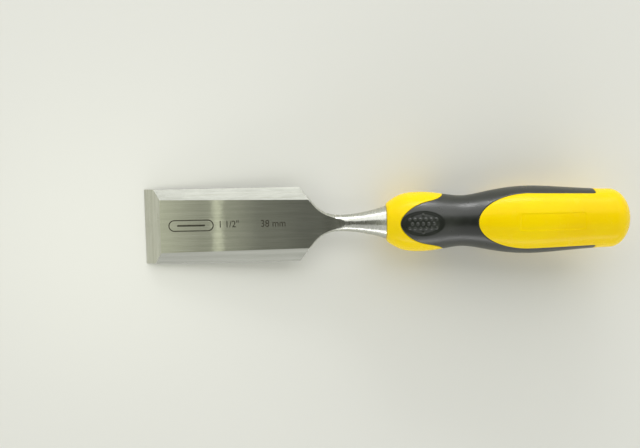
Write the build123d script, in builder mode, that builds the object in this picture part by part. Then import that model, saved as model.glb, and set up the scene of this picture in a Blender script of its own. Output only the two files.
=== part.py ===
"""A 38 mm bevel-edge bench chisel: a forged steel blade in a handle of two plastics.

Frame, in millimetres: the flat back of the blade lies in z = 0 and faces -Z, the cutting edge
runs along Y through the origin, and +X points from the cutting edge to the butt of the handle.
The handle's axis is parallel to X, at half the blade's thickness.
"""

import math
import os

from build123d import *

# --- blade --------------------------------------------------------------------------------
BLADE_WIDTH = 38.1
SHOULDER_X = 79.6  # where the straight sides end
HEEL_THICKNESS = 4.0  # at the top of the primary bevel
SHOULDER_THICKNESS = 4.3
SIDE_LAND = 2.5  # height of the flat side below the side bevel
SIDE_BEVEL = 15.4  # degrees from the back
PRIMARY_BEVEL = 25.0  # degrees from the back
HONED_BEVEL = 30.0
HONED_LENGTH = 0.8

# --- shoulders, neck and bolster, round about the handle's axis ----------------------------
AXIS_Z = 2.15
SHOULDER_SLOPE = 50.0  # degrees between the shoulders' outline and the axis
SHOULDER_RADIUS = 16.0  # from that outline into the neck
SHOULDER_HEIGHT = 10.0  # half height of the upright flank where the shoulders start
FLANK_FADE = 4  # power with which the flank leans in towards the round neck
SHOULDER_OVERLAP = 3.0  # how far the shoulders' surface starts inside the straight blade
NECK_RADIUS = 4.2
RAMP_X = 87.5  # where the flat faces start to run out towards the cone
RAMP_END_X = 103.4
BOLSTER_X = 124.0  # rear face of the bolster, and front face of the handle
BOLSTER_RADIUS = 8.6
BOLSTER_EDGE = 0.3
STEEL_STATIONS = 20  # sections that shape the shoulders, neck and bolster

# --- tang, hidden in the handle -----------------------------------------------------------
TANG_LENGTH = 74.0
TANG_ROOT = 9.0  # side of its square section
TANG_TIP = 5.6
TANG_POINT = 6.0  # length of the blunt pyramid at its tip
NOTCH_DEPTH = 0.8
NOTCH_COUNT = 5
NOTCH_PITCH = 11.0
NOTCH_START = 14.0  # from the bolster to the first notch

# --- handle -------------------------------------------------------------------------------
FRONT_RADIUS = 9.2  # of the round front face
FRONT_EDGE = 0.5
BUTT_START_X = 237.6
BUTT_LENGTH = 10.4
BUTT_HALF_WIDTH = 15.0
# half widths along the handle: shoulder, collar, waist, palm swell and tail
HANDLE_OUTLINE = (
    (BOLSTER_X, FRONT_RADIUS),
    (126.8, 11.7),
    (131.0, 13.9),
    (138.5, 15.2),
    (147.0, 14.95),
    (155.0, 13.75),
    (163.0, 13.0),
    (171.0, 14.1),
    (181.0, 16.0),
    (196.0, 17.3),
    (211.0, 16.6),
    (226.0, 15.5),
    (BUTT_START_X, BUTT_HALF_WIDTH),
)

# --- soft grip ----------------------------------------------------------------------------
GRIP_THICKNESS = 2.2
# edge of the collar, from the tip of the rubber tongue on the face to the handle's side
COLLAR_EDGE = ((130.2, 0), (134.1, 6.3), (142.0, 10.4), (149.0, 12.1), (153.2, 14.6))
PANEL_X = 169.3  # round front end of the rear panel
PANEL_STRAIGHT_X = 195.0  # where its round end turns into straight sides
PANEL_HALF_WIDTH = 14.0
STRIP_END_X = 229.5  # rear end of the rubber strips on the sides
STRIP_HALF_WIDTH = 13.1  # half width of the panel there
THUMB_X = 141.5
THUMB_LENGTH = 22.0
THUMB_WIDTH = 13.0
THUMB_DEPTH = 0.8
OUTSIDE = 25.0  # clears the handle on every side

half_width = BLADE_WIDTH / 2
shoulder_slope = math.tan(math.radians(SHOULDER_SLOPE))
side_slope = math.tan(math.radians(SIDE_BEVEL))
primary_slope = math.tan(math.radians(PRIMARY_BEVEL))
honed_z = HONED_LENGTH * math.tan(math.radians(HONED_BEVEL))
heel_x = HONED_LENGTH + (HEEL_THICKNESS - honed_z) / primary_slope
# the shoulders' arc ends in the neck here
neck_x = (
    SHOULDER_X
    + (half_width - NECK_RADIUS) / shoulder_slope
    + SHOULDER_RADIUS * math.tan(math.radians(SHOULDER_SLOPE / 2))
)
overlap_x = SHOULDER_X - SHOULDER_OVERLAP
# the bolster's hollow cone is an arc that starts parallel to the axis
bolster_rise = BOLSTER_RADIUS - NECK_RADIUS
bolster_arc = ((BOLSTER_X - neck_x) ** 2 + bolster_rise**2) / (2 * bolster_rise)
tang_tip_x = BOLSTER_X + TANG_LENGTH - TANG_POINT


def face_z(x):
    """Height of the blade's upper face, which thickens evenly from the heel to the shoulder."""
    share = (x - heel_x) / (SHOULDER_X - heel_x)
    return HEEL_THICKNESS + share * (SHOULDER_THICKNESS - HEEL_THICKNESS)


def arc_rise(radius, run):
    """How far an arc of that radius has risen from its tangent after that run."""
    return radius - math.sqrt(radius**2 - run**2)


def steel_radii(x):
    """Half width and half height of the shoulders, neck and bolster."""
    if x >= neck_x:
        radius = NECK_RADIUS + arc_rise(bolster_arc, x - neck_x)
        return radius, radius
    if x > neck_x - SHOULDER_RADIUS * math.sin(math.radians(SHOULDER_SLOPE)):
        wide = NECK_RADIUS + arc_rise(SHOULDER_RADIUS, neck_x - x)
    else:
        wide = half_width - (x - SHOULDER_X) * shoulder_slope
    share = (neck_x - x) / (neck_x - SHOULDER_X)
    upright = (SHOULDER_HEIGHT - NECK_RADIUS) * share**FLANK_FADE
    return wide, min(wide, NECK_RADIUS + upright)


def tang_half_side(x):
    """Half side of the tang's square section."""
    share = (x - BOLSTER_X) / (tang_tip_x - BOLSTER_X)
    return (TANG_ROOT + share * (TANG_TIP - TANG_ROOT)) / 2


# --- blade: one forging -------------------------------------------------------------------
with BuildPart() as blade:
    # shoulders, neck and bolster
    for number in range(STEEL_STATIONS):
        x = overlap_x + (BOLSTER_X - overlap_x) * number / (STEEL_STATIONS - 1)
        with BuildSketch(Plane.YZ.offset(x)):
            with Locations((0, AXIS_Z)):
                Ellipse(*steel_radii(x))
    loft()
    chamfer(blade.edges().filter_by(Plane.YZ).sort_by(Axis.X)[-1], BOLSTER_EDGE)
    # the blade's two faces run out on the neck in flats that rise to meet the cone
    with BuildSketch(Plane.XZ):
        with BuildLine():
            end_height = steel_radii(RAMP_END_X)[1] + 0.1
            top = (RAMP_X, face_z(RAMP_X))
            top_end = (RAMP_END_X, AXIS_Z + end_height)
            bottom = (RAMP_X, 0)
            bottom_end = (RAMP_END_X, AXIS_Z - end_height)
            Line((overlap_x, face_z(overlap_x)), top)
            TangentArc(top, top_end, tangent=(1, 0))
            Polyline(
                top_end,
                (RAMP_END_X, OUTSIDE),
                (BOLSTER_X, OUTSIDE),
                (BOLSTER_X, -OUTSIDE),
                (RAMP_END_X, -OUTSIDE),
                bottom_end,
            )
            TangentArc(bottom, bottom_end, tangent=(1, 0))
            Polyline(bottom, (overlap_x, 0), (overlap_x, face_z(overlap_x)))
        make_face()
    extrude(amount=half_width, both=True, mode=Mode.INTERSECT)
    # the straight blade with its primary bevel and honed edge
    with BuildSketch(Plane.XZ):
        with BuildLine():
            Polyline(
                (0, 0),
                (HONED_LENGTH, honed_z),
                (heel_x, HEEL_THICKNESS),
                (overlap_x, face_z(overlap_x)),
                (overlap_x, 0),
                close=True,
            )
        make_face()
    extrude(amount=half_width, both=True)
    # ground side bevels
    with BuildSketch(Plane.YZ):
        with BuildLine():
            inward = half_width / 2
            Polyline(
                (OUTSIDE, SIDE_LAND - (OUTSIDE - half_width) * side_slope),
                (half_width - inward, SIDE_LAND + inward * side_slope),
                (OUTSIDE, SIDE_LAND + inward * side_slope),
                close=True,
            )
        make_face()
        mirror(about=Plane.YZ)
    extrude(amount=RAMP_X, mode=Mode.SUBTRACT)
    # tang: a tapered square bar with a blunt point
    for start, end, start_side, end_side in (
        (BOLSTER_X, tang_tip_x, TANG_ROOT, TANG_TIP),
        (tang_tip_x, tang_tip_x + TANG_POINT, TANG_TIP, TANG_TIP / 3),
    ):
        with BuildSketch(Plane.YZ.offset(start)):
            with Locations((0, AXIS_Z)):
                Rectangle(start_side, start_side)
        with BuildSketch(Plane.YZ.offset(end)):
            with Locations((0, AXIS_Z)):
                Rectangle(end_side, end_side)
        loft(ruled=True)
    # notches in its upper and lower faces, which lock it in the plastic
    with BuildSketch(Plane.XZ):
        for number in range(NOTCH_COUNT):
            x = BOLSTER_X + NOTCH_START + number * NOTCH_PITCH
            for side in (-1, 1):
                skin = AXIS_Z + side * tang_half_side(x)
                with BuildLine():
                    Polyline(
                        (x, skin - side * NOTCH_DEPTH),
                        (x - 2 * NOTCH_DEPTH, skin + side * NOTCH_DEPTH),
                        (x + 2 * NOTCH_DEPTH, skin + side * NOTCH_DEPTH),
                        close=True,
                    )
                make_face()
    extrude(amount=TANG_ROOT, both=True, mode=Mode.SUBTRACT)
blade.part.label = "blade"


# --- handle blank: the outer shape that both plastics share -------------------------------
def handle_blank(inset):
    """The handle's outer shape drawn in by inset, as one turned solid on the handle's axis."""
    with BuildPart() as blank:
        with BuildSketch(Plane.XY):
            with BuildLine():
                outline = [(x, half - inset) for x, half in HANDLE_OUTLINE]
                end_x = BUTT_START_X + BUTT_LENGTH - inset
                Spline(*outline, tangents=((0.5, 1), (1, 0)))
                EllipticalCenterArc(
                    (BUTT_START_X, 0), end_x - BUTT_START_X, outline[-1][1], 0, arc_size=90
                )
                Polyline((end_x, 0), (BOLSTER_X, 0), outline[0])
            make_face()
        revolve(axis=Axis.X)
    return blank.part.moved(Location((0, 0, AXIS_Z)))


outer_blank = handle_blank(0)
core_blank = handle_blank(GRIP_THICKNESS)
thumb_blank = handle_blank(THUMB_DEPTH)

# --- grip space: everything that the rubber may fill, seen from above and round the core ---
with BuildPart() as grip_space:
    with BuildSketch(Plane.XY.offset(-OUTSIDE)):
        with BuildLine():
            far_side = [(x, -y) for x, y in reversed(COLLAR_EDGE[1:])]
            Spline(*far_side, *COLLAR_EDGE)
            Polyline(
                COLLAR_EDGE[-1],
                (COLLAR_EDGE[-1][0], OUTSIDE),
                (STRIP_END_X, OUTSIDE),
                (STRIP_END_X, STRIP_HALF_WIDTH),
                (PANEL_STRAIGHT_X, PANEL_HALF_WIDTH),
            )
            EllipticalCenterArc(
                (PANEL_STRAIGHT_X, 0),
                PANEL_STRAIGHT_X - PANEL_X,
                PANEL_HALF_WIDTH,
                start_angle=90,
                arc_size=180,
            )
            Polyline(
                (PANEL_STRAIGHT_X, -PANEL_HALF_WIDTH),
                (STRIP_END_X, -STRIP_HALF_WIDTH),
                (STRIP_END_X, -OUTSIDE),
                (COLLAR_EDGE[-1][0], -OUTSIDE),
                far_side[0],
            )
        make_face()
    extrude(amount=2 * OUTSIDE)
    add(core_blank, mode=Mode.SUBTRACT)

# --- handle core: the hard plastic, moulded round the tang ---------------------------------
with BuildPart() as handle_core:
    add(outer_blank)
    fillet(handle_core.edges().sort_by(Axis.X)[0], FRONT_EDGE)
    add(grip_space.part, mode=Mode.SUBTRACT)
    add(blade.part, mode=Mode.SUBTRACT)
handle_core.part.label = "handle_core"

# --- soft grip: the rubber, with a shallow oval thumb recess on each face ------------------
with BuildPart() as thumb_space:
    with BuildSketch(Plane.XY):
        with Locations((THUMB_X, 0)):
            Ellipse(THUMB_LENGTH / 2, THUMB_WIDTH / 2)
    extrude(amount=OUTSIDE, both=True)
    add(thumb_blank, mode=Mode.SUBTRACT)

with BuildPart() as soft_grip:
    add(outer_blank)
    add(grip_space.part, mode=Mode.INTERSECT)
    add(thumb_space.part, mode=Mode.SUBTRACT)
soft_grip.part.label = "soft_grip"

os.makedirs("parts", exist_ok=True)
for piece in (blade, handle_core, soft_grip):
    export_step(piece.part, f"parts/{piece.part.label}.step")
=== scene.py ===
"""The looks of a 38 mm bevel-edge bench chisel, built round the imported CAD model.

The row frame: the blade's flat back is the plane z = 0, the cutting edge lies on Y through the
origin, and the handle's axis runs along +X. Shapes are worked out in millimetres and made in
metres. Lights, floor and camera are placed in metres.
"""

import math

import bmesh
import bpy
import numpy as np
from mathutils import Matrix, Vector, kdtree


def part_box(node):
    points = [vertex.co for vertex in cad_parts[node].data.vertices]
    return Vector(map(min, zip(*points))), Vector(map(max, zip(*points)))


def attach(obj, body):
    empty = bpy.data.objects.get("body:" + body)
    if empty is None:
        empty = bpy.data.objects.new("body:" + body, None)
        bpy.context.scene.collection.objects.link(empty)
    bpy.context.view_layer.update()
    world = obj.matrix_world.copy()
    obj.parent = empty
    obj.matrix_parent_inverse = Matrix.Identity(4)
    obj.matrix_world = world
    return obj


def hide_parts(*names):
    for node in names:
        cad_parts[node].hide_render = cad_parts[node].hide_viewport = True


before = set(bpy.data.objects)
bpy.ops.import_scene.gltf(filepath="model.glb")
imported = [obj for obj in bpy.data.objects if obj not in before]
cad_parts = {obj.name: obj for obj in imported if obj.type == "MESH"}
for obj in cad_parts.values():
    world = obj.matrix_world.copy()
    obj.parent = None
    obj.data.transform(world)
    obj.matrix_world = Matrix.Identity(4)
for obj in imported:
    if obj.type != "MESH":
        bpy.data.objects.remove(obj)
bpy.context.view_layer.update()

MM = 0.001
CORE_LOW, CORE_HIGH = (np.array(corner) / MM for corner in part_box("handle_core"))

# --- sizes in millimetres, as the CAD model has them -----------------------------------------
AXIS_Z = (CORE_LOW[2] + CORE_HIGH[2]) / 2
FRONT_X = CORE_LOW[0]
OUTLINE = (  # (x, radius) of the handle as far as the rounded butt
    (FRONT_X, 9.2),
    (126.8, 11.7),
    (131.0, 13.9),
    (138.5, 15.2),
    (147.0, 14.95),
    (155.0, 13.75),
    (163.0, 13.0),
    (171.0, 14.1),
    (181.0, 16.0),
    (196.0, 17.3),
    (211.0, 16.6),
    (226.0, 15.5),
    (237.6, 15.0),
)
OUTLINE_START = (0.5, 1)  # the outline's direction at each end
OUTLINE_END = (1, 0)
BUTT_X, BUTT_RADIUS = OUTLINE[-1]
BUTT_LENGTH = CORE_HIGH[0] - BUTT_X
FRONT_EDGE_HEIGHT = 0.5  # of the rounded edge round the front face
FRONT_EDGE_LENGTH = 0.3
GRIP_THICKNESS = 2.2
COLLAR_EDGE = ((130.2, 0), (134.1, 6.3), (142.0, 10.4), (149.0, 12.1), (153.2, 14.6))
COLLAR_EDGE_START = (-1, 3)
COLLAR_EDGE_END = (1, 1.2)
PANEL_X = 169.3
PANEL_STRAIGHT_X = 195.0
PANEL_HALF_WIDTH = 14.0
STRIP_END_X = 229.5
STRIP_HALF_WIDTH = 13.1
TANG_LENGTH = 68.0
TANG_POINT = 6.0  # length of the pocket's blunt point beyond the tang's straight taper
TANG_FRONT_SIDE = 9.0
TANG_END_SIDE = 5.6
TANG_POINT_SIDE = TANG_END_SIDE / 3
HEEL_X = 8.5  # where the primary bevel meets the upper face
HEEL_THICKNESS = 4.0
SHOULDER_X = 79.6
SHOULDER_THICKNESS = 4.3
RAMP_END_X = 103.4  # where the upper face ends in a point on the bolster

# --- detail that only the visual model has, in millimetres -----------------------------------
CLEARANCE = 0.02  # between the core and what it holds or carries
STRIP_CORNER = 1.6  # radius of the rubber strips' rear corners
PLASTIC_LIP = 0.3  # radius of the rounded edge beside the seam
RUBBER_LIP = 0.5
FACE_SINE = 0.5  # recesses lie where the sine of the angle round the axis is above this
THUMB = (141.5, 11.0, 6.5)  # centre and half axes of the oval recess
THUMB_DEPTH = 0.75
THUMB_SLOPE = 1.6  # width of its sloping rim
DOT_PITCH = 2.7
DOT_RADIUS = 0.85
DOT_HEIGHT = 0.38
DOT_CLEARANCE = 0.2  # from a dot's centre to the sloping rim, at least
FIELD = (205.7, 16.7, 4.4)  # centre and half sides of the plain field on each panel
FIELD_CORNER = 1.4  # radius of its corners
FIELD_DEPTH = 0.22
FIELD_SLOPE = 0.5  # width of its sloping rim
EDGE_BREAK = 0.12  # width of the broken edges of the blade
LABEL = (24.2, 0.3, 11.6, 3.0)  # centre and half sides of the plain label on the face
LABEL_LINE = 0.55  # width of its line
LABEL_BAR = (0.62, 0.8)  # half sides of its bar, as shares of the half length and the line
SIZE_MARKS = (('1 1/2"', 38.9, -0.9, 3.5), ("38 mm", 60.0, -1.0, 3.5))  # text, x, y, height
LETTER_WIDTH = 0.92
LETTER_BOLD = 0.006  # how much each stroke is widened, as a share of the text size
MARK_PROUD = 0.006
MARK_DEPTH = 0.02

# --- fineness of the meshes, in millimetres --------------------------------------------------
COARSE = 0.9  # spacing over most of the handle
FINE = 0.26  # spacing at the thumb recesses
GROWTH_ALONG = 0.12  # how fast the spacing grows, per millimetre away from a recess
GROWTH_AROUND = 0.03  # and per degree round the axis
RECESS_MARGIN = 1.0  # the fine spacing reaches this far past a recess
MEAN_RADIUS = 15.0  # turns a spacing round the axis into an angle
FRONT_RUN = 1.2  # length of the closely spaced front edge
FRONT_SPACING = 0.1  # its first spacing
FRONT_GROWTH = 0.25  # and how fast that grows
POLE_SPACING = 0.12  # least spacing on the butt
POLE_SHARE = 0.081  # spacing on the butt as a share of its radius there
POLE_CAP = 0.25  # distance of the last ring from the pole
OUTLINE_SAMPLES = 4000
BUTT_SAMPLES = 400
EDGE_SAMPLES = 12
COLLAR_SAMPLES = 3000
PANEL_SAMPLES = 900
END_SAMPLES = 300
SEAM_STEP = 0.04  # spacing of the points that distances to the seam are measured from
SEAM_LEVELS = (0.0, -0.3, -0.18, -0.08, -0.02, 0.03, 0.12, 0.28, 0.5)  # cuts beside the seam
FIELD_LEVELS = (0.0, -FIELD_SLOPE * 0.5, -FIELD_SLOPE)  # cuts in the plain field's slope
SNAP = 0.02  # a vertex this near to a level counts as lying on it
FAR = 9.0  # stands for a distance or an angle beyond every limit
STADIUM_SAMPLES = 20
BLADE_WELD = 0.001  # points of the blade that are this near to each other are joined
MARK_WELD = 0.0001  # and of the marks
SHARP_ANGLE = 42.0  # an edge that turns more degrees than this looks sharp
SHARP_BLADE_ANGLE = 20.0  # and on the blade
FLAT_ANGLE = 0.05  # the blade's faces that turn fewer degrees than this are joined
BREAK_ANGLE = 8.0  # the blade's long edges that turn more degrees than this are broken
END_MARGIN = 0.1  # edges this near to the cutting edge are not broken
SHOULDER_MARGIN = 0.05  # edges may reach this far past the shoulder and still be broken
BEVEL_NORMAL_X = -0.2  # the x of the primary bevel's normal is below this
FACE_NORMAL_Y = 0.02  # the y of the upper face's normal is nearer to 0 than this

# --- floor, lights and camera, in metres -----------------------------------------------------
FLOOR_HALF = 2.0
FLOOR_GAP = 0.0002
CAMERA_LENS = 49.27
CAMERA_SENSOR = 36.0
CAMERA_CLIP = 0.01
CAMERA_PLACE = (0.09195, 0.03907, 0.45)
CAMERA_TURN = (-5.03, 0.13, -1.17)  # in degrees
SOFTBOX_X = 0.12
SOFTBOX_DISTANCE = 2.0
SOFTBOXES = (  # name, side in Y, from and to in degrees from overhead, length, radiance
    ("upper_softbox", 1, 25, 72, 4.0, 1.42),
    ("lower_softbox", -1, 20, 72, 4.0, 0.58),
    ("upper_strip", 1, 73, 84, 3.0, 3.2),
    ("lower_strip", -1, 73, 84, 3.0, 3.4),
)
WINDOW_PLACE = (0.28, 1.9, 0.50)
WINDOW_TARGET = (0.19, 0, 0)
WINDOW_SIZE = (0.8, 0.2)
WINDOW_RADIANCE = 12.0
CARD_HEIGHT = 0.10
CARD_Y = -0.006
CARD_WIDTH = 0.09
CARD_TINT = (0.98, 1, 0.78)
CARD = (  # brightness of the card by x: lighter towards the cutting edge, with one band
    (-0.060, 0.66),
    (-0.010, 0.60),
    (0.003, 0.425),
    (0.014, 0.30),
    (0.0205, 0.31),
    (0.0247, 0.73),
    (0.0262, 0.73),
    (0.0300, 0.29),
    (0.036, 0.257),
    (0.050, 0.09),
    (0.062, 0.06),
    (0.072, 0.025),
    (0.080, 0.0),
)
WALL = (0.78, 0.78, 0.7644, 1)  # colour of the walls
WALL_TOP = (0.22, 0.40)  # z of the direction where the walls end and the ceiling is reached
CEILING_TINT = (0.98, 1, 0.86)
CEILING = (  # brightness of the ceiling by the x of the direction
    (-1.0, 0.70),
    (-0.62, 0.70),
    (-0.54, 0.10),
    (-0.24, 0.10),
    (-0.20, 0.12),
    (-0.10, 0.17),
    (0.42, 0.17),
    (0.60, 0.9),
    (1.0, 0.9),
)


# --- mesh helpers ----------------------------------------------------------------------------
def clamped_spline(points, start, end, count):
    """Points on the smooth cubic through points that has those end directions."""
    p = np.array(points, float)
    t = np.concatenate([[0], np.cumsum(np.linalg.norm(np.diff(p, axis=0), axis=1))])
    h = np.diff(t)
    n = len(p)
    a = np.zeros((n, n))
    b = np.zeros((n, 2))
    a[0, 0] = a[-1, -1] = 1
    b[0] = np.array(start) / np.linalg.norm(start)
    b[-1] = np.array(end) / np.linalg.norm(end)
    for i in range(1, n - 1):
        a[i, i - 1] = 1 / h[i - 1]
        a[i, i] = 2 / h[i - 1] + 2 / h[i]
        a[i, i + 1] = 1 / h[i]
        b[i] = 3 * ((p[i] - p[i - 1]) / h[i - 1] ** 2 + (p[i + 1] - p[i]) / h[i] ** 2)
    m = np.linalg.solve(a, b)
    s = np.linspace(0, t[-1], count)
    i = np.clip(np.searchsorted(t, s, side="right") - 1, 0, n - 2)
    u = ((s - t[i]) / h[i])[:, None]
    hi = h[i][:, None]
    return (
        (2 * u**3 - 3 * u**2 + 1) * p[i]
        + (u**3 - 2 * u**2 + u) * hi * m[i]
        + (3 * u**2 - 2 * u**3) * p[i + 1]
        + (u**3 - u**2) * hi * m[i + 1]
    )


def smooth(x):
    """A smooth step from 0 to 1."""
    x = np.clip(x, 0, 1)
    return x * x * (3 - 2 * x)


def new_piece(name, verts, faces, material):
    """A piece of the visual model, in the row frame, from vertices in millimetres."""
    mesh = bpy.data.meshes.new(name)
    mesh.from_pydata([tuple(v) for v in np.array(verts) * MM], [], faces)
    mesh.validate()
    mesh.update()
    mesh.shade_smooth()
    mesh.set_sharp_from_angle(angle=math.radians(SHARP_ANGLE))
    piece = bpy.data.objects.new(name, mesh)
    bpy.context.scene.collection.objects.link(piece)
    mesh.materials.append(material)
    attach(piece, "root")
    return piece


def compact(name, verts, faces, material):
    """new_piece with only the vertices that its faces use."""
    used = sorted({v for face in faces for v in face})
    index = {v: i for i, v in enumerate(used)}
    return new_piece(
        name,
        [verts[v] for v in used],
        [[index[v] for v in face] for face in faces],
        material,
    )


# --- the handle's outline --------------------------------------------------------------------
def handle_profile():
    """Dense (x, radius) points of the handle's outline from the front face to the pole."""
    body = clamped_spline(OUTLINE, OUTLINE_START, OUTLINE_END, OUTLINE_SAMPLES)
    angle = np.linspace(0, math.pi / 2, BUTT_SAMPLES)[1:]
    butt = np.stack([BUTT_X + BUTT_LENGTH * np.sin(angle), BUTT_RADIUS * np.cos(angle)], 1)
    first = body[body[:, 0] > FRONT_X + FRONT_EDGE_LENGTH]
    front_radius = OUTLINE[0][1]
    u = np.linspace(0, 1, EDGE_SAMPLES)[:-1, None]
    edge = (
        (1 - u) ** 2 * np.array([FRONT_X, front_radius - FRONT_EDGE_HEIGHT])
        + 2 * u * (1 - u) * np.array([FRONT_X, front_radius])
        + u**2 * first[0]
    )
    return np.concatenate([edge, first, butt])


PROFILE = handle_profile()
LENGTH_ALONG = np.concatenate(
    [[0], np.cumsum(np.linalg.norm(np.diff(PROFILE, axis=0), axis=1))]
)


def profile_at(u):
    """(x, radius) at the distance u along the outline."""
    return np.interp(u, LENGTH_ALONG, PROFILE[:, 0]), np.interp(u, LENGTH_ALONG, PROFILE[:, 1])


def radius_at(x):
    return np.interp(x, PROFILE[:, 0], PROFILE[:, 1])


def inset_profile(u, depth, reach=0.05):
    """The point at distance u along the outline, moved inwards square to it by depth."""
    x, r = profile_at(u)
    x1, r1 = profile_at(u - reach)
    x2, r2 = profile_at(u + reach)
    length = np.hypot(x2 - x1, r2 - r1)
    return x + depth * (r2 - r1) / length, r - depth * (x2 - x1) / length


def surface_points(x, radius, angle):
    """Points at x, at a radius and an angle round the handle's axis."""
    return np.stack([x, radius * np.cos(angle), AXIS_Z + radius * np.sin(angle)], -1)


# --- the rubber's edge -----------------------------------------------------------------------
def front_seam():
    """The rubber's front edge on the outer surface, as (x, folded angle) rows."""
    far_side = [(x, -y) for x, y in reversed(COLLAR_EDGE[1:])]
    points = far_side + list(COLLAR_EDGE)
    line = clamped_spline(points, COLLAR_EDGE_START, COLLAR_EDGE_END, COLLAR_SAMPLES)
    line = line[line[:, 1] >= 0]
    line = line[line[:, 1] <= radius_at(line[:, 0])]
    seam = np.stack([line[:, 0], np.arccos(line[:, 1] / radius_at(line[:, 0]))], 1)
    return np.concatenate([seam, [[seam[-1, 0] + SNAP, 0.0]]])


def rear_seam():
    """The edge along the panel and the strip, as (x, folded angle) rows."""
    quarter = np.cos(np.linspace(0, math.pi / 2, PANEL_SAMPLES))
    oval = PANEL_STRAIGHT_X - (PANEL_STRAIGHT_X - PANEL_X) * quarter
    x = np.concatenate([oval, np.linspace(PANEL_STRAIGHT_X, STRIP_END_X, PANEL_SAMPLES)[1:]])
    share = np.clip((PANEL_STRAIGHT_X - x) / (PANEL_STRAIGHT_X - PANEL_X), 0, 1)
    straight = np.clip((x - PANEL_STRAIGHT_X) / (STRIP_END_X - PANEL_STRAIGHT_X), 0, 1)
    half = PANEL_HALF_WIDTH * np.sqrt(1 - share**2)
    half -= (PANEL_HALF_WIDTH - STRIP_HALF_WIDTH) * straight
    arc = radius_at(x) * np.arccos(half / radius_at(x))
    into_corner = np.clip(x - (STRIP_END_X - STRIP_CORNER), 0, STRIP_CORNER)
    arc -= STRIP_CORNER - np.sqrt(STRIP_CORNER**2 - into_corner**2)
    return np.stack([x, arc / radius_at(x)], 1)


def strip_end_seam():
    """The straight edge across the strip's rear end, down to the middle of the side."""
    down = np.linspace(SEAM_REAR[-1, 1], 0, END_SAMPLES)[1:]
    return np.stack([np.full_like(down, STRIP_END_X), down], 1)


SEAM_FRONT = front_seam()
SEAM_REAR = rear_seam()
SEAM_END = strip_end_seam()


def seam_tree():
    """Evenly spaced points of the rubber's edge in space, for finding the nearest one."""
    found = []
    for line in (SEAM_FRONT, np.concatenate([SEAM_REAR, SEAM_END])):
        corners = surface_points(line[:, 0], radius_at(line[:, 0]), line[:, 1])
        step = np.linalg.norm(np.diff(corners, axis=0), axis=1)
        length = np.concatenate([[0], np.cumsum(step)])
        at = np.arange(0, length[-1], SEAM_STEP)
        x = np.interp(at, length, line[:, 0])
        angle = np.interp(at, length, line[:, 1])
        found.append(surface_points(x, radius_at(x), angle))
    points = np.concatenate(found)
    tree = kdtree.KDTree(len(points))
    for i, p in enumerate(points):
        tree.insert(p, i)
    tree.balance()
    return tree


SEAM_TREE = seam_tree()


def quadrant(angle):
    """The angle above the side of the handle, folded into one quarter."""
    return np.arctan2(np.abs(np.sin(angle)), np.abs(np.cos(angle)))


def seam_distance(u, angle):
    """How far each surface point is from the rubber's edge: positive on the rubber."""
    x, r = profile_at(u)
    folded = quadrant(angle)
    points = surface_points(x, r, folded)
    distance = np.array([SEAM_TREE.find(p)[2] for p in points])
    front_x = np.interp(folded, SEAM_FRONT[::-1, 1], SEAM_FRONT[::-1, 0])
    rear_limit = np.interp(x, SEAM_REAR[:, 0], SEAM_REAR[:, 1])
    rear_limit = np.where(x < PANEL_X, FAR, np.where(x > STRIP_END_X, -1.0, rear_limit))
    inside = (x > front_x) & (folded < rear_limit)
    return np.where(inside, distance, -distance)


# --- relief of the handle's surface ----------------------------------------------------------
def lip(distance, radius):
    """Depth of a rounded edge of that radius, at a distance from the seam."""
    a = np.clip(radius - np.abs(distance), 0, radius)
    return radius - np.sqrt(radius**2 - a**2)


def field_distance(x, y):
    """Distance from the outline of the plain field on the panel: negative inside."""
    cx, half_long, half_wide = FIELD
    dx = np.abs(x - cx) - (half_long - FIELD_CORNER)
    dy = np.abs(y) - (half_wide - FIELD_CORNER)
    outside = np.hypot(np.maximum(dx, 0), np.maximum(dy, 0))
    return outside + np.minimum(np.maximum(dx, dy), 0) - FIELD_CORNER


def thumb_rim(x, y):
    """Distance inside the thumb oval's outline, as measured across the oval."""
    cx, half_long, half_wide = THUMB
    return (1 - np.hypot((x - cx) / half_long, y / half_wide)) * half_wide


def thumb_depth(x, y):
    """Depth of the thumb recess, less the dots that stand up in it."""
    depth = THUMB_DEPTH * smooth(thumb_rim(x, y) / THUMB_SLOPE)
    row_gap = DOT_PITCH * math.sqrt(3) / 2
    row = np.round(y / row_gap)
    first_x = THUMB[0] + np.where(row % 2 == 0, 0.0, DOT_PITCH / 2)
    dot_x = first_x + np.round((x - first_x) / DOT_PITCH) * DOT_PITCH
    dot_y = row * row_gap
    away = np.hypot(x - dot_x, y - dot_y) / DOT_RADIUS
    dots = DOT_HEIGHT * (1 - np.clip(away, 0, 1) ** 2)
    return depth - np.where(thumb_rim(dot_x, dot_y) > THUMB_SLOPE + DOT_CLEARANCE, dots, 0)


# --- the handle's mesh -----------------------------------------------------------------------
def spaced(start, end, spacing):
    """Stations from start to end whose gaps follow spacing(position)."""
    out = [start]
    while out[-1] < end:
        out.append(out[-1] + spacing(out[-1]))
    stations = np.array(out)
    return start + (stations - start) * (end - start) / (stations[-1] - start)


def handle_grid():
    """Stations along the outline and round the axis, closer together at the thumb recesses."""
    x0, half_long, half_wide = THUMB

    def along(u):
        x, r = profile_at(u)
        if u < FRONT_RUN:
            return FRONT_SPACING + FRONT_GROWTH * u
        away = max(0.0, abs(x - x0) - half_long - RECESS_MARGIN)
        to_pole = max(POLE_SPACING, POLE_SHARE * r) if x > BUTT_X else COARSE
        return min(COARSE, FINE + GROWTH_ALONG * away, to_pole)

    reach = math.degrees(math.asin((half_wide + RECESS_MARGIN) / radius_at(x0)))

    def around(degrees):
        away = max(0.0, min(abs(degrees - 90), abs(degrees - 270)) - reach)
        return math.degrees(min(COARSE, FINE + GROWTH_AROUND * away) / MEAN_RADIUS)

    u = spaced(0, LENGTH_ALONG[-1] - POLE_CAP, along)
    angle = np.radians(spaced(0, 360, around))[:-1]
    return u, angle


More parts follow.
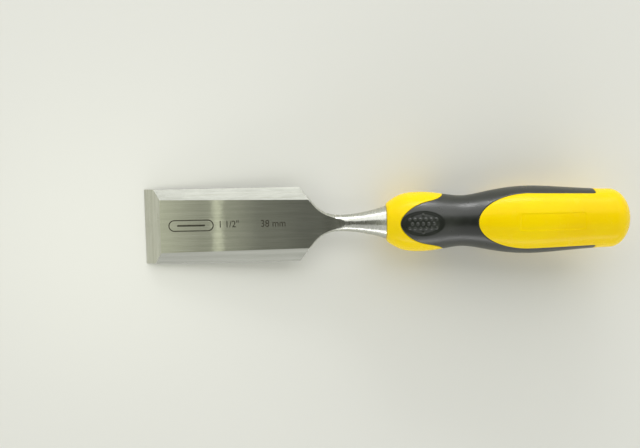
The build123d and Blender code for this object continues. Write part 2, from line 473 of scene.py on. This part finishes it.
class Shell:
    """The handle's outer surface as a mesh, cut along the seam and round the plain fields.

    A vertex has its distance u along the outline, its angle round the axis, its distance from
    the seam (positive on the rubber) and its distance from a plain field (negative inside).
    """

    def __init__(self):
        u, angle = handle_grid()
        self.rows, self.columns = len(u), len(angle)
        u, angle = (grid.ravel() for grid in np.meshgrid(u, angle, indexing="ij"))
        x, r = profile_at(u)
        on_face = np.abs(np.sin(angle)) > FACE_SINE
        self.seam = seam_distance(u, angle).tolist()
        self.field = np.where(on_face, field_distance(x, r * np.cos(angle)), FAR).tolist()
        self.u, self.angle = u.tolist(), angle.tolist()
        self.faces = [
            [self.at(i, j), self.at(i, j + 1), self.at(i + 1, j + 1), self.at(i + 1, j)]
            for i in range(self.rows - 1)
            for j in range(self.columns)
        ]
        for level in SEAM_LEVELS:
            self.cut(self.seam, level)
        for level in FIELD_LEVELS:
            self.cut(self.field, level)
        self.u, self.angle = np.array(self.u), np.array(self.angle)
        self.seam, self.field = np.array(self.seam), np.array(self.field)
        self.on_rubber = [sum(self.seam[v] for v in face) > 0 for face in self.faces]
        self.rim = self.rubber_rim()

    def at(self, row, column):
        return row * self.columns + column % self.columns

    def cut(self, values, level):
        """Cuts every face where values, which is seam or field, crosses the level."""
        for i, value in enumerate(values):
            if abs(value - level) < SNAP:
                values[i] = level
        made = {}
        faces = []
        for face in self.faces:
            signs = [(values[v] > level) - (values[v] < level) for v in face]
            if min(signs) >= 0 or max(signs) <= 0:
                faces.append(face)
                continue
            upper, lower = [], []
            for i, v in enumerate(face):
                following = (i + 1) % len(face)
                if signs[i] >= 0:
                    upper.append(v)
                if signs[i] <= 0:
                    lower.append(v)
                if signs[i] * signs[following] < 0:
                    edge = tuple(sorted((v, face[following])))
                    if edge not in made:
                        made[edge] = self.crossing(*edge, values, level)
                    upper.append(made[edge])
                    lower.append(made[edge])
            faces += [part for part in (upper, lower) if len(part) > 2]
        self.faces = faces

    def crossing(self, a, b, values, level):
        """A new vertex where values reaches the level on the edge from a to b."""
        above_a, above_b = values[a] - level, values[b] - level
        share = above_a / (above_a - above_b)
        turn = (self.angle[b] - self.angle[a] + math.pi) % (2 * math.pi) - math.pi
        self.angle.append(self.angle[a] + share * turn)
        for known in (self.u, self.seam, self.field):
            known.append(level if known is values else known[a] + share * (known[b] - known[a]))
        return len(self.u) - 1

    def rubber_rim(self):
        """The edges round the rubber's outer faces, each in its face's direction."""
        edges = {}
        for face, rubbery in zip(self.faces, self.on_rubber):
            if rubbery:
                edges.update(dict.fromkeys(zip(face, face[1:] + face[:1])))
        return [(a, b) for a, b in edges if (b, a) not in edges]

    def placed(self, depth):
        """The surface's points, each moved inwards by its depth."""
        x, r = inset_profile(self.u, depth)
        return surface_points(x, r, self.angle)


def build_grip(shell, rubber):
    """The rubber: its outside, its inside and the rim between them."""
    x, r = profile_at(shell.u)
    on_face = np.abs(np.sin(shell.angle)) > FACE_SINE
    relief = np.where(on_face, thumb_depth(x, r * np.cos(shell.angle)), 0)
    outer = shell.placed(lip(shell.seam, RUBBER_LIP) + relief)
    inner = shell.placed(GRIP_THICKNESS)
    count = len(outer)
    faces = []
    for face, rubbery in zip(shell.faces, shell.on_rubber):
        if rubbery:
            faces.append(face)
            faces.append([v + count for v in reversed(face)])
    faces += [[b, a, a + count, b + count] for a, b in shell.rim]
    grip = compact("grip", np.concatenate([outer, inner]), faces, rubber)
    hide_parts("soft_grip")


def tang_pocket(shell, verts):
    """Faces of the front face and the tang's pocket. Their vertices are added to verts."""
    columns = shell.columns
    stations = (
        (FRONT_X, TANG_FRONT_SIDE),
        (FRONT_X + TANG_LENGTH, TANG_END_SIDE),
        (FRONT_X + TANG_LENGTH + TANG_POINT, TANG_POINT_SIDE),
    )
    faces = []
    previous = list(range(columns))
    for x, side_length in stations:
        half = side_length / 2 + CLEARANCE
        ring = list(range(len(verts), len(verts) + columns))
        for angle in shell.angle[:columns]:
            c, s = math.cos(angle), math.sin(angle)
            reach = half / max(abs(c), abs(s))
            verts.append(np.array([x, reach * c, AXIS_Z + reach * s]))
        faces += [
            [previous[(j + 1) % columns], previous[j], ring[j], ring[(j + 1) % columns]]
            for j in range(columns)
        ]
        previous = ring
    faces.append(list(reversed(previous)))
    return faces


def build_core(shell, plastic):
    """The plastic: its visible skin, the recess under the rubber and the tang's pocket."""
    relief = FIELD_DEPTH * smooth(-shell.field / FIELD_SLOPE)
    outer = shell.placed(lip(shell.seam, PLASTIC_LIP) + relief)
    inner = shell.placed(GRIP_THICKNESS + CLEARANCE)
    count = len(outer)
    verts = list(np.concatenate([outer, inner]))
    faces = [
        [v + count for v in face] if rubbery else face
        for face, rubbery in zip(shell.faces, shell.on_rubber)
    ]
    faces += [[a, b, b + count, a + count] for a, b in shell.rim]
    pole = len(verts)
    verts.append(np.array([CORE_HIGH[0], 0, AXIS_Z]))
    last = shell.rows - 1
    faces += [[shell.at(last, j), shell.at(last, j + 1), pole] for j in range(shell.columns)]
    faces += tang_pocket(shell, verts)
    core = compact("core", verts, faces, plastic)
    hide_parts("handle_core")


# --- the blade -------------------------------------------------------------------------------
def is_long_edge(edge):
    """Whether an edge lies between the cutting edge and the shoulder and turns a corner."""
    return (
        len(edge.link_faces) == 2
        and edge.calc_face_angle(0) > math.radians(BREAK_ANGLE)
        and min(v.co.x for v in edge.verts) > END_MARGIN * MM
        and max(v.co.x for v in edge.verts) < (SHOULDER_X + SHOULDER_MARGIN) * MM
    )


def finish_of(face):
    """The number of a face's finish: 0 ground, 1 primary bevel, 2 polished."""
    x = face.calc_center_median().x / MM
    n = face.normal
    if n.x < BEVEL_NORMAL_X and x < HEEL_X and n.z > 0:
        return 1
    if x > SHOULDER_X and (abs(n.y) > FACE_NORMAL_Y or x > RAMP_END_X):
        return 2
    return 0


def build_blade(ground, primary, polished):
    """The CAD blade with its flat faces joined up and its long edges broken by a hair."""
    mesh = bpy.data.meshes.new("chisel_blade")
    shape = bmesh.new()
    shape.from_mesh(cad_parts["blade"].data)
    bmesh.ops.remove_doubles(shape, verts=shape.verts, dist=BLADE_WELD * MM)
    bmesh.ops.dissolve_limit(
        shape, angle_limit=math.radians(FLAT_ANGLE), verts=shape.verts, edges=shape.edges
    )
    bmesh.ops.bevel(
        shape,
        geom=[edge for edge in shape.edges if is_long_edge(edge)],
        offset=EDGE_BREAK * MM,
        offset_type="OFFSET",
        segments=2,
        profile=0.5,
        affect="EDGES",
        clamp_overlap=True,
    )
    for face in shape.faces:
        face.material_index = finish_of(face)
    shape.to_mesh(mesh)
    shape.free()
    mesh.shade_smooth()
    mesh.set_sharp_from_angle(angle=math.radians(SHARP_BLADE_ANGLE))
    for material in (ground, primary, polished):
        mesh.materials.append(material)
    piece = bpy.data.objects.new("chisel_blade", mesh)
    bpy.context.scene.collection.objects.link(piece)
    normals = piece.modifiers.new("flat_faces", "WEIGHTED_NORMAL")
    normals.weight = 100
    normals.keep_sharp = True
    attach(piece, "root")
    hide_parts("blade")


# --- the etched marks on the face ------------------------------------------------------------
def face_height(x):
    """Height of the blade's upper face, which thickens evenly from the heel to the shoulder."""
    share = (x - HEEL_X) / (SHOULDER_X - HEEL_X)
    return HEEL_THICKNESS + share * (SHOULDER_THICKNESS - HEEL_THICKNESS)


def stadium(half_long, half_wide):
    """A closed outline with straight sides and round ends, about the origin."""
    turn = np.linspace(-math.pi / 2, math.pi / 2, STADIUM_SAMPLES)
    x = half_long - half_wide + half_wide * np.cos(turn)
    right = np.stack([x, half_wide * np.sin(turn)], 1)
    return np.concatenate([right, -right])


def label_outline():
    """Flat faces of the label's closed line and of the bar across its middle."""
    cx, cy, half_long, half_wide = LABEL
    outer = stadium(half_long, half_wide) + (cx, cy)
    inner = stadium(half_long - LABEL_LINE, half_wide - LABEL_LINE) + (cx, cy)
    bar = stadium(half_long * LABEL_BAR[0], LABEL_LINE * LABEL_BAR[1]) + (cx, cy)
    n = len(outer)
    verts = list(outer) + list(inner) + list(bar)
    faces = [[i, (i + 1) % n, n + (i + 1) % n, n + i] for i in range(n)]
    faces.append(list(range(2 * n, 3 * n)))
    return verts, faces


def lettering(text, x, y, cap_height):
    """Flat faces of a generic size mark whose lower left corner is at (x, y)."""
    curve = bpy.data.curves.new(text, "FONT")
    curve.body = text
    curve.size = 1.0
    curve.offset = LETTER_BOLD
    holder = bpy.data.objects.new(text, curve)
    flat = bpy.data.meshes.new_from_object(holder)
    points = np.array([tuple(v.co)[:2] for v in flat.vertices])
    faces = [list(face.vertices) for face in flat.polygons]
    scale = cap_height / points[:, 1].max()
    points = (points - (points[:, 0].min(), 0)) * (scale * LETTER_WIDTH, scale) + (x, y)
    bpy.data.objects.remove(holder)
    bpy.data.curves.remove(curve)
    bpy.data.meshes.remove(flat)
    return list(points), faces


def flat_marks():
    """Every mark as flat faces: points and rows of their numbers, with doubled points joined."""
    shape = bmesh.new()
    for points, polygons in [label_outline()] + [lettering(*mark) for mark in SIZE_MARKS]:
        made = [shape.verts.new((x, y, 0)) for x, y in points]
        for polygon in polygons:
            shape.faces.new([made[v] for v in polygon])
    bmesh.ops.remove_doubles(shape, verts=shape.verts, dist=MARK_WELD)
    shape.verts.index_update()
    points = [tuple(v.co)[:2] for v in shape.verts]
    faces = [[v.index for v in face.verts] for face in shape.faces]
    shape.free()
    return points, faces


def build_marks(material):
    """The dark marks etched into the face, as thin closed solids let into the steel."""
    points, tops = flat_marks()
    count = len(points)
    solid = [(x, y, face_height(x) + MARK_PROUD) for x, y in points]
    solid += [(x, y, face_height(x) - MARK_DEPTH) for x, y in points]
    edges = {(a, b) for face in tops for a, b in zip(face, face[1:] + face[:1])}
    sides = [[b, a, a + count, b + count] for a, b in edges if (b, a) not in edges]
    bottoms = [[v + count for v in reversed(face)] for face in tops]
    piece = new_piece("size_marks", solid, tops + bottoms + sides, material)
    piece.data.shade_flat()


# --- materials -------------------------------------------------------------------------------
def srgb(r, g, b):
    """Linear colour from 0 to 255 display values."""

    def one(c):
        c /= 255
        return c / 12.92 if c <= 0.04045 else ((c + 0.055) / 1.055) ** 2.4

    return one(r), one(g), one(b), 1.0


class Nodes:
    """Short calls for building one material's node tree. Scales are per metre."""

    def __init__(self, name):
        self.material = bpy.data.materials.new(name)
        self.material.use_nodes = True
        self.tree = self.material.node_tree
        self.shader = self.tree.nodes["Principled BSDF"]
        self.coordinates = self.add("ShaderNodeTexCoord").outputs["Object"]

    def add(self, kind, **settings):
        node = self.tree.nodes.new(kind)
        for key, value in settings.items():
            setattr(node, key, value)
        return node

    def feed(self, node, index, value):
        """Links a socket to an input, or sets the input to a plain value."""
        if isinstance(value, bpy.types.NodeSocket):
            self.tree.links.new(value, node.inputs[index])
        else:
            node.inputs[index].default_value = value

    def shade(self, **inputs):
        """Feeds the shader's inputs, named with _ for each space."""
        for name, value in inputs.items():
            self.feed(self.shader, name.replace("_", " "), value)

    def math(self, operation, a, b):
        node = self.add("ShaderNodeMath", operation=operation)
        self.feed(node, 0, a)
        self.feed(node, 1, b)
        return node.outputs[0]

    def stretched(self, scale):
        """Object coordinates scaled by a different amount along each axis."""
        node = self.add("ShaderNodeMapping")
        self.feed(node, "Vector", self.coordinates)
        self.feed(node, "Scale", scale)
        return node.outputs[0]

    def noise(self, scale, detail=2.0, roughness=0.5, vector=None):
        node = self.add("ShaderNodeTexNoise")
        self.feed(node, "Vector", vector or self.coordinates)
        self.feed(node, "Scale", scale)
        self.feed(node, "Detail", detail)
        self.feed(node, "Roughness", roughness)
        return node.outputs["Fac"]

    def vary(self, noise, low, high, reach=0.2):
        """A value from low to high as the noise crosses its middle, reach to either side."""
        node = self.add("ShaderNodeMapRange")
        for index, value in enumerate((noise, 0.5 - reach, 0.5 + reach, low, high)):
            self.feed(node, index, value)
        return node.outputs[0]

    def blend(self, share, a, b):
        node = self.add("ShaderNodeMix", data_type="RGBA")
        self.feed(node, 0, share)
        self.feed(node, 6, a)
        self.feed(node, 7, b)
        return node.outputs[2]

    def bump(self, height, distance, strength, normal=None):
        node = self.add("ShaderNodeBump")
        self.feed(node, "Strength", strength)
        self.feed(node, "Distance", distance)
        self.feed(node, "Height", height)
        if normal:
            self.feed(node, "Normal", normal)
        return node.outputs[0]


def yellow_plastic():
    """Glossy moulded plastic with slight clouds of colour, orange peel and soft ripples."""
    n = Nodes("yellow_plastic")
    cloud = n.noise(scale=38, detail=3, roughness=0.55)
    smear = n.noise(scale=160, detail=4, roughness=0.6)
    peel = n.bump(n.noise(scale=900), distance=0.00002, strength=0.5)
    ripple = n.noise(scale=90, detail=1)
    n.shade(
        Base_Color=n.blend(n.vary(cloud, 0, 1, 0.15), srgb(246, 214, 0), srgb(241, 205, 0)),
        Roughness=n.vary(smear, 0.2, 0.3),
        Normal=n.bump(ripple, distance=0.00015, strength=0.4, normal=peel),
        IOR=1.5,
        Specular_IOR_Level=0.14,
        Subsurface_Weight=0.08,
        Subsurface_Radius=(1.0, 0.6, 0.1),
        Subsurface_Scale=0.001,
    )
    return n.material


def black_rubber():
    """Soft rubber: a fine even grain, a little sheen and faint clouds."""
    n = Nodes("black_rubber")
    cloud = n.noise(scale=45, detail=3, roughness=0.6)
    grain = n.noise(scale=2600, roughness=0.6)
    n.shade(
        Base_Color=n.blend(n.vary(cloud, 0, 1, 0.15), srgb(11, 16, 8), srgb(22, 29, 18)),
        Roughness=n.vary(n.noise(scale=220, detail=3), 0.27, 0.37),
        Normal=n.bump(grain, distance=0.00003, strength=0.4),
        IOR=1.5,
        Specular_IOR_Level=0.8,
    )
    return n.material


def steel(
    name,
    streak_scale,
    streak_strength,
    wave_scale,
    wave_strength,
    roughness,
    anisotropic,
    rotation,
    dark,
    light,
):
    """Steel ground in one direction. The scales of its streaks and waves are per metre."""
    n = Nodes(name)
    streaks = n.noise(1.0, 3, 0.6, n.stretched(streak_scale))
    broad = n.noise(1.0, 2, 0.5, n.stretched([c / 9 for c in streak_scale]))
    wave = n.noise(1.0, 2, 0.5, n.stretched(wave_scale))
    mottle = n.vary(n.noise(scale=60, detail=3, roughness=0.6), 0, 0.03)
    tone = n.math("ADD", n.math("MULTIPLY", streaks, 0.6), n.math("MULTIPLY", broad, 0.4))
    waved = n.bump(wave, distance=0.0001, strength=wave_strength)
    n.shade(
        Base_Color=n.blend(n.vary(tone, 0, 1, 0.15), dark, light),
        Metallic=1.0,
        Roughness=n.math("ADD", n.vary(streaks, *roughness), mottle),
        Normal=n.bump(streaks, distance=0.000004, strength=streak_strength, normal=waved),
        Anisotropic=anisotropic,
        Anisotropic_Rotation=rotation,
        Tangent=n.add("ShaderNodeTangent", direction_type="RADIAL", axis="X").outputs[0],
    )
    return n.material


def ground_steel():
    """The long faces, ground along the blade."""
    return steel(
        "ground_steel",
        streak_scale=(70, 6000, 6000),
        streak_strength=0.25,
        wave_scale=(110, 240, 240),
        wave_strength=0.5,
        roughness=(0.09, 0.12),
        anisotropic=1.0,
        rotation=0.0,
        dark=srgb(186, 188, 178),
        light=srgb(203, 204, 196),
    )


def primary_bevel_steel():
    """The primary bevel, ground across the blade."""
    return steel(
        "primary_bevel_steel",
        streak_scale=(6000, 90, 6000),
        streak_strength=0.4,
        wave_scale=(500, 40, 500),
        wave_strength=0.4,
        roughness=(0.24, 0.32),
        anisotropic=0.7,
        rotation=0.25,
        dark=srgb(192, 192, 180),
        light=srgb(214, 214, 204),
    )


def polished_steel():
    """The neck and the bolster, polished round."""
    return steel(
        "polished_steel",
        streak_scale=(900, 300, 300),
        streak_strength=0.06,
        wave_scale=(60, 60, 60),
        wave_strength=0.1,
        roughness=(0.23, 0.28),
        anisotropic=0.3,
        rotation=0.25,
        dark=srgb(190, 191, 182),
        light=srgb(202, 203, 196),
    )


def etched_steel():
    """Steel blackened by the etch: dull, and a little uneven."""
    n = Nodes("etched_steel")
    cloud = n.noise(scale=900, detail=3, roughness=0.6)
    n.shade(
        Base_Color=n.blend(n.vary(cloud, 0, 1), srgb(38, 36, 28), srgb(74, 72, 58)),
        Roughness=n.vary(cloud, 0.45, 0.65),
        Metallic=0.5,
    )
    return n.material


# --- floor, lights and camera ----------------------------------------------------------------
def add_floor():
    """A pale floor. The chisel rests on its cutting edge and on the belly of its collar."""
    slope = float(np.max((PROFILE[:, 1] - AXIS_Z) / PROFILE[:, 0]))
    corners = [(x * FLOOR_HALF, y * FLOOR_HALF) for x, y in ((-1, -1), (1, -1), (1, 1), (-1, 1))]
    mesh = bpy.data.meshes.new("floor")
    mesh.from_pydata([(x, y, -slope * x - FLOOR_GAP) for x, y in corners], [], [(0, 1, 2, 3)])
    floor = bpy.data.objects.new("floor", mesh)
    bpy.context.scene.collection.objects.link(floor)
    n = Nodes("floor")
    n.shade(Base_Color=srgb(226, 226, 222), Roughness=0.85)
    mesh.materials.append(n.material)


def add_light(name, place, target, size, radiance):
    """A rectangular light at a place, turned towards its target."""
    data = bpy.data.lights.new(name, "AREA")
    data.shape = "RECTANGLE"
    data.size, data.size_y = size
    data.energy = radiance * math.pi * size[0] * size[1]
    light = bpy.data.objects.new(name, data)
    light.location = place
    light.rotation_euler = (Vector(target) - Vector(place)).to_track_quat("-Z", "Y").to_euler()
    bpy.context.scene.collection.objects.link(light)
    return light


def add_softbox(name, side, low, high, length, radiance):
    """A long light beside the tool that spans low to high degrees from straight overhead."""
    middle, half = math.radians((low + high) / 2), math.radians((high - low) / 2)
    width = 2 * SOFTBOX_DISTANCE * math.tan(half)
    y = side * SOFTBOX_DISTANCE * math.sin(middle)
    z = SOFTBOX_DISTANCE * math.cos(middle)
    add_light(name, (SOFTBOX_X, y, z), (SOFTBOX_X, 0, 0), (length, width), radiance)


def fill_ramp(ramp, levels, tint):
    """Gives a colour ramp the stops of levels, rows of (position, brightness) in order."""
    start, end = levels[0][0], levels[-1][0]
    stops = ramp.color_ramp.elements
    while len(stops) < len(levels):
        stops.new(0.5)
    for stop, (position, brightness) in zip(stops, levels):
        stop.position = (position - start) / (end - start)
        stop.color = (*(brightness * t for t in tint), 1)


def add_card():
    """A low graded card over the blade, which the flat face mirrors."""
    start, end = CARD[0][0], CARD[-1][0]
    middle = (start + end) / 2
    place, target = (middle, CARD_Y, CARD_HEIGHT), (middle, CARD_Y, 0)
    light = add_light("card", place, target, (end - start, CARD_WIDTH), 1.0)
    light.visible_camera = False
    light.data.use_nodes = True
    tree = light.data.node_tree
    along = tree.nodes.new("ShaderNodeNewGeometry")
    parts = tree.nodes.new("ShaderNodeSeparateXYZ")
    ramp = tree.nodes.new("ShaderNodeValToRGB")
    fill_ramp(ramp, CARD, CARD_TINT)
    tree.links.new(along.outputs["Parametric"], parts.inputs[0])
    tree.links.new(parts.outputs[0], ramp.inputs[0])
    tree.links.new(ramp.outputs[0], tree.nodes["Emission"].inputs["Color"])


def add_world():
    """A room with pale walls and a dim ceiling that is lighter towards the two ends."""
    world = bpy.data.worlds.new("studio")
    world.use_nodes = True
    tree = world.node_tree
    where = tree.nodes.new("ShaderNodeTexCoord")
    parts = tree.nodes.new("ShaderNodeSeparateXYZ")
    spread = tree.nodes.new("ShaderNodeMapRange")
    spread.inputs["From Min"].default_value = CEILING[0][0]
    spread.inputs["From Max"].default_value = CEILING[-1][0]
    ramp = tree.nodes.new("ShaderNodeValToRGB")
    fill_ramp(ramp, CEILING, CEILING_TINT)
    height = tree.nodes.new("ShaderNodeMapRange")
    height.inputs["From Min"].default_value, height.inputs["From Max"].default_value = WALL_TOP
    mix = tree.nodes.new("ShaderNodeMix")
    mix.data_type = "RGBA"
    mix.inputs[6].default_value = WALL
    tree.links.new(where.outputs["Generated"], parts.inputs[0])
    tree.links.new(parts.outputs[0], spread.inputs[0])
    tree.links.new(spread.outputs[0], ramp.inputs[0])
    tree.links.new(parts.outputs[2], height.inputs[0])
    tree.links.new(height.outputs[0], mix.inputs[0])
    tree.links.new(ramp.outputs[0], mix.inputs[7])
    tree.links.new(mix.outputs[2], tree.nodes["Background"].inputs["Color"])
    bpy.context.scene.world = world


def add_camera():
    data = bpy.data.cameras.new("camera")
    data.sensor_width = CAMERA_SENSOR
    data.lens = CAMERA_LENS
    data.clip_start = CAMERA_CLIP
    camera = bpy.data.objects.new("camera", data)
    camera.location = CAMERA_PLACE
    camera.rotation_euler = tuple(math.radians(a) for a in CAMERA_TURN)
    bpy.context.scene.collection.objects.link(camera)
    bpy.context.scene.camera = camera


build_blade(ground_steel(), primary_bevel_steel(), polished_steel())
build_marks(etched_steel())
SHELL = Shell()
build_grip(SHELL, black_rubber())
build_core(SHELL, yellow_plastic())

add_floor()
for softbox in SOFTBOXES:
    add_softbox(*softbox)
add_light("window", WINDOW_PLACE, WINDOW_TARGET, WINDOW_SIZE, WINDOW_RADIANCE)
add_card()
add_camera()
add_world()
bpy.context.scene.view_settings.view_transform = "Standard"
